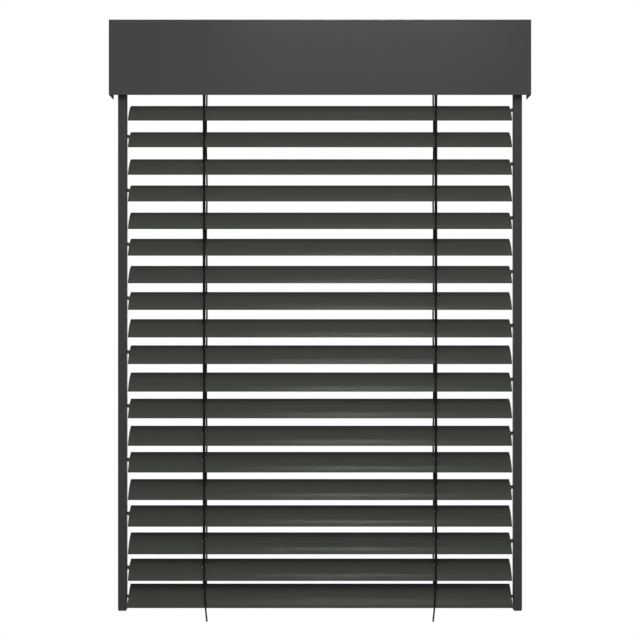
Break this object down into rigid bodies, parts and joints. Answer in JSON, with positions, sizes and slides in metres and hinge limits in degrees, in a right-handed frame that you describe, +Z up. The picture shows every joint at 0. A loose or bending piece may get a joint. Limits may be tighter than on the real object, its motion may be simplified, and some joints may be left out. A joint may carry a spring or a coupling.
{
  "type": "exterior venetian blind",
  "caption": "Motor-driven outdoor blind: arched slats that tilt and lift on guide pins between two rails, under a folded sheet cover.",
  "frame": {"origin": "centre of the four wall bolt holes of the two head brackets, on the wall's surface", "axes": "+Z up, +Y into the wall, the front faces -Y, +X to the right seen from the front"},
  "size_m": [1.0854, 0.09, 1.5515],
  "materials": {
    "anthracite_coat": "satin anthracite powder coat",
    "black_plastic": "matte moulded plastic",
    "black_textile": "braided and woven polyester",
    "zinc_steel": "zinc coated",
    "motor_casing": "satin"
  },
  "bodies": {
    "frame": {"cover": "anthracite_coat", "end_plates": "anthracite_coat", "head_rail": "zinc_steel", "head_brackets": "zinc_steel", "right_guide_rail": "anthracite_coat", "left_guide_rail": "anthracite_coat", "rail_liners": "black_plastic", "rail_feet": "black_plastic", "rail_holders": "anthracite_coat", "screws": "zinc_steel", "motor": "motor_casing", "bearing_housings": "black_plastic", "left_lift_tape": "black_textile", "right_lift_tape": "black_textile"},
    "bottom_pins": {"bottom_rail_pins": "black_plastic"},
    "bottom_rail": {"bottom_rail": "anthracite_coat", "bottom_rail_caps": "black_plastic"},
    "drive": {"drive_shafts": "zinc_steel", "tape_spools": "black_plastic"},
    "drums": {"tilt_drums": "black_plastic"},
    "front_cords": {"left_front_cord": "black_textile", "right_front_cord": "black_textile"},
    "rear_cords": {"left_rear_cord": "black_textile", "right_rear_cord": "black_textile"},
    "pin_01": {"guide_pin_01": "black_plastic"},
    "slat_01": {"slat_01": "anthracite_coat"},
    "pin_02": {"guide_pin_02": "black_plastic"},
    "slat_02": {"slat_02": "anthracite_coat"},
    "pin_03": {"guide_pin_03": "black_plastic"},
    "slat_03": {"slat_03": "anthracite_coat"},
    "pin_04": {"guide_pin_04": "black_plastic"},
    "slat_04": {"slat_04": "anthracite_coat"},
    "pin_05": {"guide_pin_05": "black_plastic"},
    "slat_05": {"slat_05": "anthracite_coat"},
    "pin_06": {"guide_pin_06": "black_plastic"},
    "slat_06": {"slat_06": "anthracite_coat"},
    "pin_07": {"guide_pin_07": "black_plastic"},
    "slat_07": {"slat_07": "anthracite_coat"},
    "pin_08": {"guide_pin_08": "black_plastic"},
    "slat_08": {"slat_08": "anthracite_coat"},
    "pin_09": {"guide_pin_09": "black_plastic"},
    "slat_09": {"slat_09": "anthracite_coat"},
    "pin_10": {"guide_pin_10": "black_plastic"},
    "slat_10": {"slat_10": "anthracite_coat"},
    "pin_11": {"guide_pin_11": "black_plastic"},
    "slat_11": {"slat_11": "anthracite_coat"},
    "pin_12": {"guide_pin_12": "black_plastic"},
    "slat_12": {"slat_12": "anthracite_coat"},
    "pin_13": {"guide_pin_13": "black_plastic"},
    "slat_13": {"slat_13": "anthracite_coat"},
    "pin_14": {"guide_pin_14": "black_plastic"},
    "slat_14": {"slat_14": "anthracite_coat"},
    "pin_15": {"guide_pin_15": "black_plastic"},
    "slat_15": {"slat_15": "anthracite_coat"},
    "pin_16": {"guide_pin_16": "black_plastic"},
    "slat_16": {"slat_16": "anthracite_coat"},
    "pin_17": {"guide_pin_17": "black_plastic"},
    "slat_17": {"slat_17": "anthracite_coat"},
    "pin_18": {"guide_pin_18": "black_plastic"},
    "slat_18": {"slat_18": "anthracite_coat"}
  },
  "joints": [
    {"name": "lift", "type": "slide", "parent": "frame", "child": "bottom_pins", "axis": [0, 0, 1], "range_m": [0, 1.2538], "deforming": ["left_lift_tape", "right_lift_tape", "left_front_cord", "right_front_cord", "left_rear_cord", "right_rear_cord"]},
    {"name": "tilt", "type": "hinge", "parent": "bottom_pins", "child": "bottom_rail", "pos_m": [0, -0.044, -1.4578], "axis": [1, 0, 0], "range_deg": [-36, 25]},
    {"name": "drive_turn", "type": "hinge", "parent": "frame", "child": "drive", "pos_m": [0, -0.044, 0.008], "axis": [1, 0, 0], "range_deg": [-1, 5215]},
    {"name": "drum_turn", "type": "hinge", "parent": "frame", "child": "drums", "pos_m": [0, -0.044, 0.008], "axis": [1, 0, 0], "range_deg": [-78.5, 55]},
    {"name": "front_cord_travel", "type": "slide", "parent": "frame", "child": "front_cords", "axis": [0, 0.6247, -0.7809], "range_m": [-0.0225, 0.016]},
    {"name": "rear_cord_travel", "type": "slide", "parent": "frame", "child": "rear_cords", "axis": [0, -0.0711, 0.9975], "range_m": [-0.0235, 0.0165]},
    {"name": "pin_01_travel", "type": "slide", "parent": "frame", "child": "pin_01", "axis": [0, 0, 1], "range_m": [-0.0005, 0.1355]},
    {"name": "slat_01_tilt", "type": "hinge", "parent": "pin_01", "child": "slat_01", "pos_m": [0, -0.044, -0.193], "axis": [1, 0, 0], "range_deg": [-36.1, 25.1]},
    {"name": "pin_02_travel", "type": "slide", "parent": "frame", "child": "pin_02", "axis": [0, 0, 1], "range_m": [-0.0005, 0.1983]},
    {"name": "slat_02_tilt", "type": "hinge", "parent": "pin_02", "child": "slat_02", "pos_m": [0, -0.044, -0.2618], "axis": [1, 0, 0], "range_deg": [-36.1, 25.1]},
    {"name": "pin_03_travel", "type": "slide", "parent": "frame", "child": "pin_03", "axis": [0, 0, 1], "range_m": [-0.0005, 0.2635]},
    {"name": "slat_03_tilt", "type": "hinge", "parent": "pin_03", "child": "slat_03", "pos_m": [0, -0.044, -0.333], "axis": [1, 0, 0], "range_deg": [-36.1, 25.1]},
    {"name": "pin_04_travel", "type": "slide", "parent": "frame", "child": "pin_04", "axis": [0, 0, 1], "range_m": [-0.0005, 0.3263]},
    {"name": "slat_04_tilt", "type": "hinge", "parent": "pin_04", "child": "slat_04", "pos_m": [0, -0.044, -0.4018], "axis": [1, 0, 0], "range_deg": [-36.1, 25.1]},
    {"name": "pin_05_travel", "type": "slide", "parent": "frame", "child": "pin_05", "axis": [0, 0, 1], "range_m": [-0.0005, 0.3915]},
    {"name": "slat_05_tilt", "type": "hinge", "parent": "pin_05", "child": "slat_05", "pos_m": [0, -0.044, -0.473], "axis": [1, 0, 0], "range_deg": [-36.1, 25.1]},
    {"name": "pin_06_travel", "type": "slide", "parent": "frame", "child": "pin_06", "axis": [0, 0, 1], "range_m": [-0.0005, 0.4543]},
    {"name": "slat_06_tilt", "type": "hinge", "parent": "pin_06", "child": "slat_06", "pos_m": [0, -0.044, -0.5418], "axis": [1, 0, 0], "range_deg": [-36.1, 25.1]},
    {"name": "pin_07_travel", "type": "slide", "parent": "frame", "child": "pin_07", "axis": [0, 0, 1], "range_m": [-0.0005, 0.5195]},
    {"name": "slat_07_tilt", "type": "hinge", "parent": "pin_07", "child": "slat_07", "pos_m": [0, -0.044, -0.613], "axis": [1, 0, 0], "range_deg": [-36.1, 25.1]},
    {"name": "pin_08_travel", "type": "slide", "parent": "frame", "child": "pin_08", "axis": [0, 0, 1], "range_m": [-0.0005, 0.5823]},
    {"name": "slat_08_tilt", "type": "hinge", "parent": "pin_08", "child": "slat_08", "pos_m": [0, -0.044, -0.6818], "axis": [1, 0, 0], "range_deg": [-36.1, 25.1]},
    {"name": "pin_09_travel", "type": "slide", "parent": "frame", "child": "pin_09", "axis": [0, 0, 1], "range_m": [-0.0005, 0.6475]},
    {"name": "slat_09_tilt", "type": "hinge", "parent": "pin_09", "child": "slat_09", "pos_m": [0, -0.044, -0.753], "axis": [1, 0, 0], "range_deg": [-36.1, 25.1]},
    {"name": "pin_10_travel", "type": "slide", "parent": "frame", "child": "pin_10", "axis": [0, 0, 1], "range_m": [-0.0005, 0.7103]},
    {"name": "slat_10_tilt", "type": "hinge", "parent": "pin_10", "child": "slat_10", "pos_m": [0, -0.044, -0.8218], "axis": [1, 0, 0], "range_deg": [-36.1, 25.1]},
    {"name": "pin_11_travel", "type": "slide", "parent": "frame", "child": "pin_11", "axis": [0, 0, 1], "range_m": [-0.0005, 0.7755]},
    {"name": "slat_11_tilt", "type": "hinge", "parent": "pin_11", "child": "slat_11", "pos_m": [0, -0.044, -0.893], "axis": [1, 0, 0], "range_deg": [-36.1, 25.1]},
    {"name": "pin_12_travel", "type": "slide", "parent": "frame", "child": "pin_12", "axis": [0, 0, 1], "range_m": [-0.0005, 0.8383]},
    {"name": "slat_12_tilt", "type": "hinge", "parent": "pin_12", "child": "slat_12", "pos_m": [0, -0.044, -0.9618], "axis": [1, 0, 0], "range_deg": [-36.1, 25.1]},
    {"name": "pin_13_travel", "type": "slide", "parent": "frame", "child": "pin_13", "axis": [0, 0, 1], "range_m": [-0.0005, 0.9035]},
    {"name": "slat_13_tilt", "type": "hinge", "parent": "pin_13", "child": "slat_13", "pos_m": [0, -0.044, -1.033], "axis": [1, 0, 0], "range_deg": [-36.1, 25.1]},
    {"name": "pin_14_travel", "type": "slide", "parent": "frame", "child": "pin_14", "axis": [0, 0, 1], "range_m": [-0.0005, 0.9663]},
    {"name": "slat_14_tilt", "type": "hinge", "parent": "pin_14", "child": "slat_14", "pos_m": [0, -0.044, -1.1018], "axis": [1, 0, 0], "range_deg": [-36.1, 25.1]},
    {"name": "pin_15_travel", "type": "slide", "parent": "frame", "child": "pin_15", "axis": [0, 0, 1], "range_m": [-0.0005, 1.0315]},
    {"name": "slat_15_tilt", "type": "hinge", "parent": "pin_15", "child": "slat_15", "pos_m": [0, -0.044, -1.173], "axis": [1, 0, 0], "range_deg": [-36.1, 25.1]},
    {"name": "pin_16_travel", "type": "slide", "parent": "frame", "child": "pin_16", "axis": [0, 0, 1], "range_m": [-0.0005, 1.0943]},
    {"name": "slat_16_tilt", "type": "hinge", "parent": "pin_16", "child": "slat_16", "pos_m": [0, -0.044, -1.2418], "axis": [1, 0, 0], "range_deg": [-36.1, 25.1]},
    {"name": "pin_17_travel", "type": "slide", "parent": "frame", "child": "pin_17", "axis": [0, 0, 1], "range_m": [-0.0005, 1.1595]},
    {"name": "slat_17_tilt", "type": "hinge", "parent": "pin_17", "child": "slat_17", "pos_m": [0, -0.044, -1.313], "axis": [1, 0, 0], "range_deg": [-36.1, 25.1]},
    {"name": "pin_18_travel", "type": "slide", "parent": "frame", "child": "pin_18", "axis": [0, 0, 1], "range_m": [-0.0005, 1.2223]},
    {"name": "slat_18_tilt", "type": "hinge", "parent": "pin_18", "child": "slat_18", "pos_m": [0, -0.044, -1.3818], "axis": [1, 0, 0], "range_deg": [-36.1, 25.1]}
  ],
  "couplings": [
    {"joint": "drive_turn", "follows": "lift", "rad_per_m": 72.5},
    {"joint": "drum_turn", "follows": "tilt", "ratio": 2.1505},
    {"joint": "front_cord_travel", "follows": "tilt", "m_per_rad": 0.0352},
    {"joint": "rear_cord_travel", "follows": "tilt", "m_per_rad": 0.0366},
    {"joint": "pin_01_travel", "follows": "lift", "ratio": 0.10767},
    {"joint": "slat_01_tilt", "follows": "tilt", "ratio": 1},
    {"joint": "pin_02_travel", "follows": "lift", "ratio": 0.15776},
    {"joint": "slat_02_tilt", "follows": "tilt", "ratio": 1},
    {"joint": "pin_03_travel", "follows": "lift", "ratio": 0.20976},
    {"joint": "slat_03_tilt", "follows": "tilt", "ratio": 1},
    {"joint": "pin_04_travel", "follows": "lift", "ratio": 0.25985},
    {"joint": "slat_04_tilt", "follows": "tilt", "ratio": 1},
    {"joint": "pin_05_travel", "follows": "lift", "ratio": 0.31185},
    {"joint": "slat_05_tilt", "follows": "tilt", "ratio": 1},
    {"joint": "pin_06_travel", "follows": "lift", "ratio": 0.36194},
    {"joint": "slat_06_tilt", "follows": "tilt", "ratio": 1},
    {"joint": "pin_07_travel", "follows": "lift", "ratio": 0.41394},
    {"joint": "slat_07_tilt", "follows": "tilt", "ratio": 1},
    {"joint": "pin_08_travel", "follows": "lift", "ratio": 0.46403},
    {"joint": "slat_08_tilt", "follows": "tilt", "ratio": 1},
    {"joint": "pin_09_travel", "follows": "lift", "ratio": 0.51603},
    {"joint": "slat_09_tilt", "follows": "tilt", "ratio": 1},
    {"joint": "pin_10_travel", "follows": "lift", "ratio": 0.56612},
    {"joint": "slat_10_tilt", "follows": "tilt", "ratio": 1},
    {"joint": "pin_11_travel", "follows": "lift", "ratio": 0.61812},
    {"joint": "slat_11_tilt", "follows": "tilt", "ratio": 1},
    {"joint": "pin_12_travel", "follows": "lift", "ratio": 0.66821},
    {"joint": "slat_12_tilt", "follows": "tilt", "ratio": 1},
    {"joint": "pin_13_travel", "follows": "lift", "ratio": 0.72021},
    {"joint": "slat_13_tilt", "follows": "tilt", "ratio": 1},
    {"joint": "pin_14_travel", "follows": "lift", "ratio": 0.7703},
    {"joint": "slat_14_tilt", "follows": "tilt", "ratio": 1},
    {"joint": "pin_15_travel", "follows": "lift", "ratio": 0.8223},
    {"joint": "slat_15_tilt", "follows": "tilt", "ratio": 1},
    {"joint": "pin_16_travel", "follows": "lift", "ratio": 0.87239},
    {"joint": "slat_16_tilt", "follows": "tilt", "ratio": 1},
    {"joint": "pin_17_travel", "follows": "lift", "ratio": 0.92439},
    {"joint": "slat_17_tilt", "follows": "tilt", "ratio": 1},
    {"joint": "pin_18_travel", "follows": "lift", "ratio": 0.97448},
    {"joint": "slat_18_tilt", "follows": "tilt", "ratio": 1}
  ]
}
